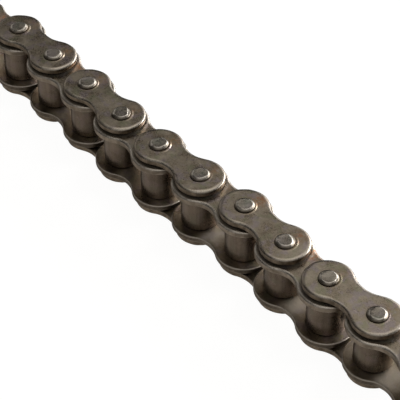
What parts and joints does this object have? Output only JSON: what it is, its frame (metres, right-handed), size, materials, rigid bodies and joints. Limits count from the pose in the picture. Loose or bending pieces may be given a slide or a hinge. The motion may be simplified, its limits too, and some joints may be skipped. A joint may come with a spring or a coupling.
{
  "type": "roller chain",
  "caption": "Strand of single-row roller chain: riveted pin links and roller links in turn, bending at every pin, with free-turning rollers that sit between sprocket teeth.",
  "frame": {"origin": "centre of the strand's overall box, half way between its plates", "axes": "+X along the strand, +Z along the pins and rollers, +Y across the plates; the strand lies on its side on its lower pin ends"},
  "size_m": [0.227, 0.0226, 0.0248],
  "materials": {
    "outer_plate": "dark oiled steel, tumbled, with rounded edges",
    "inner_plate": "dark oiled steel, tumbled",
    "pin": "oiled alloy steel, riveted ends",
    "bush": "case-hardened steel, oiled",
    "roller": "smooth dark brown-black hardened steel, oiled"
  },
  "bodies": {
    "inner_link_01": {"inner_plate_01_upper": "inner_plate", "inner_plate_01_lower": "inner_plate", "bush_01": "bush", "bush_02": "bush"},
    "outer_link_01": {"outer_plate_01_upper": "outer_plate", "outer_plate_01_lower": "outer_plate", "pin_01": "pin", "pin_02": "pin"},
    "inner_link_02": {"inner_plate_02_upper": "inner_plate", "inner_plate_02_lower": "inner_plate", "bush_03": "bush", "bush_04": "bush"},
    "outer_link_02": {"outer_plate_02_upper": "outer_plate", "outer_plate_02_lower": "outer_plate", "pin_03": "pin", "pin_04": "pin"},
    "inner_link_03": {"inner_plate_03_upper": "inner_plate", "inner_plate_03_lower": "inner_plate", "bush_05": "bush", "bush_06": "bush"},
    "outer_link_03": {"outer_plate_03_upper": "outer_plate", "outer_plate_03_lower": "outer_plate", "pin_05": "pin", "pin_06": "pin"},
    "inner_link_04": {"inner_plate_04_upper": "inner_plate", "inner_plate_04_lower": "inner_plate", "bush_07": "bush", "bush_08": "bush"},
    "outer_link_04": {"outer_plate_04_upper": "outer_plate", "outer_plate_04_lower": "outer_plate", "pin_07": "pin", "pin_08": "pin"},
    "inner_link_05": {"inner_plate_05_upper": "inner_plate", "inner_plate_05_lower": "inner_plate", "bush_09": "bush", "bush_10": "bush"},
    "outer_link_05": {"outer_plate_05_upper": "outer_plate", "outer_plate_05_lower": "outer_plate", "pin_09": "pin", "pin_10": "pin"},
    "inner_link_06": {"inner_plate_06_upper": "inner_plate", "inner_plate_06_lower": "inner_plate", "bush_11": "bush", "bush_12": "bush"},
    "roller_body_01": {"roller_01": "roller"},
    "roller_body_02": {"roller_02": "roller"},
    "roller_body_03": {"roller_03": "roller"},
    "roller_body_04": {"roller_04": "roller"},
    "roller_body_05": {"roller_05": "roller"},
    "roller_body_06": {"roller_06": "roller"},
    "roller_body_07": {"roller_07": "roller"},
    "roller_body_08": {"roller_08": "roller"},
    "roller_body_09": {"roller_09": "roller"},
    "roller_body_10": {"roller_10": "roller"},
    "roller_body_11": {"roller_11": "roller"},
    "roller_body_12": {"roller_12": "roller"}
  },
  "joints": [
    {"name": "articulation_01", "type": "hinge", "parent": "outer_link_01", "child": "inner_link_01", "pos_m": [-0.08576, 0.00228, 0], "axis": [0, 0, 1], "range_deg": [-130.3, 109.7]},
    {"name": "articulation_02", "type": "hinge", "parent": "inner_link_02", "child": "outer_link_01", "pos_m": [-0.06671, 0.00208, 0], "axis": [0, 0, -1], "range_deg": [-118, 122]},
    {"name": "articulation_03", "type": "hinge", "parent": "outer_link_02", "child": "inner_link_02", "pos_m": [-0.04768, 0.00121, 0], "axis": [0, 0, 1], "range_deg": [-122, 118]},
    {"name": "articulation_04", "type": "hinge", "parent": "inner_link_03", "child": "outer_link_02", "pos_m": [-0.02869, -0.00031, 0], "axis": [0, 0, -1], "range_deg": [-122.8, 117.2]},
    {"name": "articulation_05", "type": "hinge", "parent": "outer_link_03", "child": "inner_link_03", "pos_m": [-0.00965, -0.00091, 0], "axis": [0, 0, 1], "range_deg": [-117.5, 122.5]},
    {"name": "articulation_06", "type": "hinge", "parent": "outer_link_03", "child": "inner_link_04", "pos_m": [0.0094, -0.00068, 0], "axis": [0, 0, 1], "range_deg": [-122.05, 117.95]},
    {"name": "articulation_07", "type": "hinge", "parent": "inner_link_04", "child": "outer_link_04", "pos_m": [0.02843, 0.00023, 0], "axis": [0, 0, -1], "range_deg": [-127.45, 112.55]},
    {"name": "articulation_08", "type": "hinge", "parent": "outer_link_04", "child": "inner_link_05", "pos_m": [0.04741, -0.00133, 0], "axis": [0, 0, 1], "range_deg": [-121.7, 118.3]},
    {"name": "articulation_09", "type": "hinge", "parent": "inner_link_05", "child": "outer_link_05", "pos_m": [0.06644, -0.00232, 0], "axis": [0, 0, -1], "range_deg": [-116.25, 123.75]},
    {"name": "articulation_10", "type": "hinge", "parent": "outer_link_05", "child": "inner_link_06", "pos_m": [0.08549, -0.00207, 0], "axis": [0, 0, 1], "range_deg": [-122.6, 117.4]},
    {"name": "roller_spin_01", "type": "hinge", "parent": "inner_link_01", "child": "roller_body_01", "pos_m": [-0.10454, -0.00093, 0], "axis": [0, 0, 1], "continuous": true},
    {"name": "roller_spin_02", "type": "hinge", "parent": "inner_link_01", "child": "roller_body_02", "pos_m": [-0.08576, 0.00228, 0], "axis": [0, 0, 1], "continuous": true},
    {"name": "roller_spin_03", "type": "hinge", "parent": "inner_link_02", "child": "roller_body_03", "pos_m": [-0.06671, 0.00208, 0], "axis": [0, 0, 1], "continuous": true},
    {"name": "roller_spin_04", "type": "hinge", "parent": "inner_link_02", "child": "roller_body_04", "pos_m": [-0.04768, 0.00121, 0], "axis": [0, 0, 1], "continuous": true},
    {"name": "roller_spin_05", "type": "hinge", "parent": "inner_link_03", "child": "roller_body_05", "pos_m": [-0.02869, -0.00031, 0], "axis": [0, 0, 1], "continuous": true},
    {"name": "roller_spin_06", "type": "hinge", "parent": "inner_link_03", "child": "roller_body_06", "pos_m": [-0.00965, -0.00091, 0], "axis": [0, 0, 1], "continuous": true},
    {"name": "roller_spin_07", "type": "hinge", "parent": "inner_link_04", "child": "roller_body_07", "pos_m": [0.0094, -0.00068, 0], "axis": [0, 0, 1], "continuous": true},
    {"name": "roller_spin_08", "type": "hinge", "parent": "inner_link_04", "child": "roller_body_08", "pos_m": [0.02843, 0.00023, 0], "axis": [0, 0, 1], "continuous": true},
    {"name": "roller_spin_09", "type": "hinge", "parent": "inner_link_05", "child": "roller_body_09", "pos_m": [0.04741, -0.00133, 0], "axis": [0, 0, 1], "continuous": true},
    {"name": "roller_spin_10", "type": "hinge", "parent": "inner_link_05", "child": "roller_body_10", "pos_m": [0.06644, -0.00232, 0], "axis": [0, 0, 1], "continuous": true},
    {"name": "roller_spin_11", "type": "hinge", "parent": "inner_link_06", "child": "roller_body_11", "pos_m": [0.08549, -0.00207, 0], "axis": [0, 0, 1], "continuous": true},
    {"name": "roller_spin_12", "type": "hinge", "parent": "inner_link_06", "child": "roller_body_12", "pos_m": [0.1045, -0.00096, 0], "axis": [0, 0, 1], "continuous": true}
  ]
}
